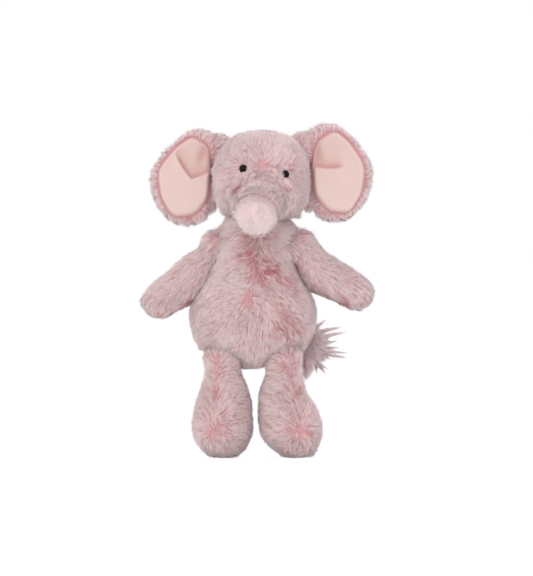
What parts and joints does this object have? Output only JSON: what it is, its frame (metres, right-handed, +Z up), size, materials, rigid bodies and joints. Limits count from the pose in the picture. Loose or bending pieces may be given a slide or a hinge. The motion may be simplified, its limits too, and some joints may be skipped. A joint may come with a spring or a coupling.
{
  "type": "stuffed toy elephant",
  "caption": "Soft toy elephant of pink long-pile fabric with velvet-lined ears, a short trunk, swinging limbs and a tufted tail.",
  "frame": {"origin": "on the floor under the middle of the whole toy, which stands on its soles", "axes": "+Z up through the standing toy; it faces -Y, and +X is to the viewer's right"},
  "size_m": [0.2178, 0.141, 0.31],
  "materials": {
    "pile_fabric": "matte",
    "ear_velvet": "matte",
    "tuft_hair": "matte",
    "eye_plastic": "gloss",
    "washer_plastic": "matte",
    "fibre_filling": "matte",
    "pouch_cloth": "matte",
    "pellets": "matte"
  },
  "bodies": {
    "torso": {"torso_front_left": "pile_fabric", "torso_front_right": "pile_fabric", "torso_back_left": "pile_fabric", "torso_back_right": "pile_fabric", "torso_stuffing": "fibre_filling", "seat_bean_pouch": "pouch_cloth", "seat_beans": "pellets"},
    "neck": {"neck_stuffing": "fibre_filling"},
    "head": {"head_side_left": "pile_fabric", "head_side_right": "pile_fabric", "head_gusset": "pile_fabric", "head_stuffing": "fibre_filling", "eye_left": "eye_plastic", "eye_right": "eye_plastic", "eye_washer_left": "washer_plastic", "eye_washer_right": "washer_plastic"},
    "trunk": {"trunk_cover": "pile_fabric", "trunk_end_disc": "pile_fabric", "trunk_stuffing": "fibre_filling"},
    "ear_left": {"ear_back_left": "pile_fabric", "ear_lining_left": "ear_velvet"},
    "ear_right": {"ear_back_right": "pile_fabric", "ear_lining_right": "ear_velvet"},
    "arm_left": {"arm_front_left": "pile_fabric", "arm_back_left": "pile_fabric", "arm_stuffing_left": "fibre_filling"},
    "arm_right": {"arm_front_right": "pile_fabric", "arm_back_right": "pile_fabric", "arm_stuffing_right": "fibre_filling"},
    "leg_left": {"leg_inner_left": "pile_fabric", "leg_outer_left": "pile_fabric", "leg_stuffing_left": "fibre_filling"},
    "leg_right": {"leg_inner_right": "pile_fabric", "leg_outer_right": "pile_fabric", "leg_stuffing_right": "fibre_filling"},
    "tail": {"tail_stem": "pile_fabric", "tail_tuft": "tuft_hair"}
  },
  "joints": [
    {"name": "neck_turn", "type": "hinge", "parent": "torso", "child": "neck", "pos_m": [-0.00067, 0.0135, 0.22], "axis": [0, 0, 1], "range_deg": [-35, 35]},
    {"name": "neck_nod", "type": "hinge", "parent": "neck", "child": "head", "pos_m": [-0.00067, 0.0135, 0.22], "axis": [1, 0, 0], "range_deg": [-15, 20]},
    {"name": "trunk_lift", "type": "hinge", "parent": "head", "child": "trunk", "pos_m": [0.00333, -0.031, 0.2465], "axis": [-0.9914, 0, 0.1305], "range_deg": [-15, 40]},
    {"name": "ear_left_flap", "type": "hinge", "parent": "head", "child": "ear_left", "pos_m": [-0.04676, 0.0225, 0.2605], "axis": [0, 0, 1], "range_deg": [-30, 52]},
    {"name": "ear_right_flap", "type": "hinge", "parent": "head", "child": "ear_right", "pos_m": [0.05341, 0.02265, 0.265], "axis": [0, 0, -1], "range_deg": [-30, 52]},
    {"name": "arm_left_swing", "type": "hinge", "parent": "torso", "child": "arm_left", "pos_m": [-0.04066, 0.0135, 0.1975], "axis": [0.2924, 0, 0.9563], "range_deg": [-35, 50]},
    {"name": "arm_right_swing", "type": "hinge", "parent": "torso", "child": "arm_right", "pos_m": [0.03734, 0.0135, 0.1975], "axis": [0.2924, 0, -0.9563], "range_deg": [-35, 50]},
    {"name": "leg_left_swing", "type": "hinge", "parent": "torso", "child": "leg_left", "pos_m": [-0.03296, 0.0095, 0.092], "axis": [-1, 0, 0], "range_deg": [-30, 90]},
    {"name": "leg_right_swing", "type": "hinge", "parent": "torso", "child": "leg_right", "pos_m": [0.02404, 0.0095, 0.092], "axis": [-1, 0, 0], "range_deg": [-30, 90]},
    {"name": "tail_swing", "type": "hinge", "parent": "torso", "child": "tail", "pos_m": [0.00983, 0.0635, 0.112], "axis": [0, 1, 0], "range_deg": [-20, 75]}
  ]
}
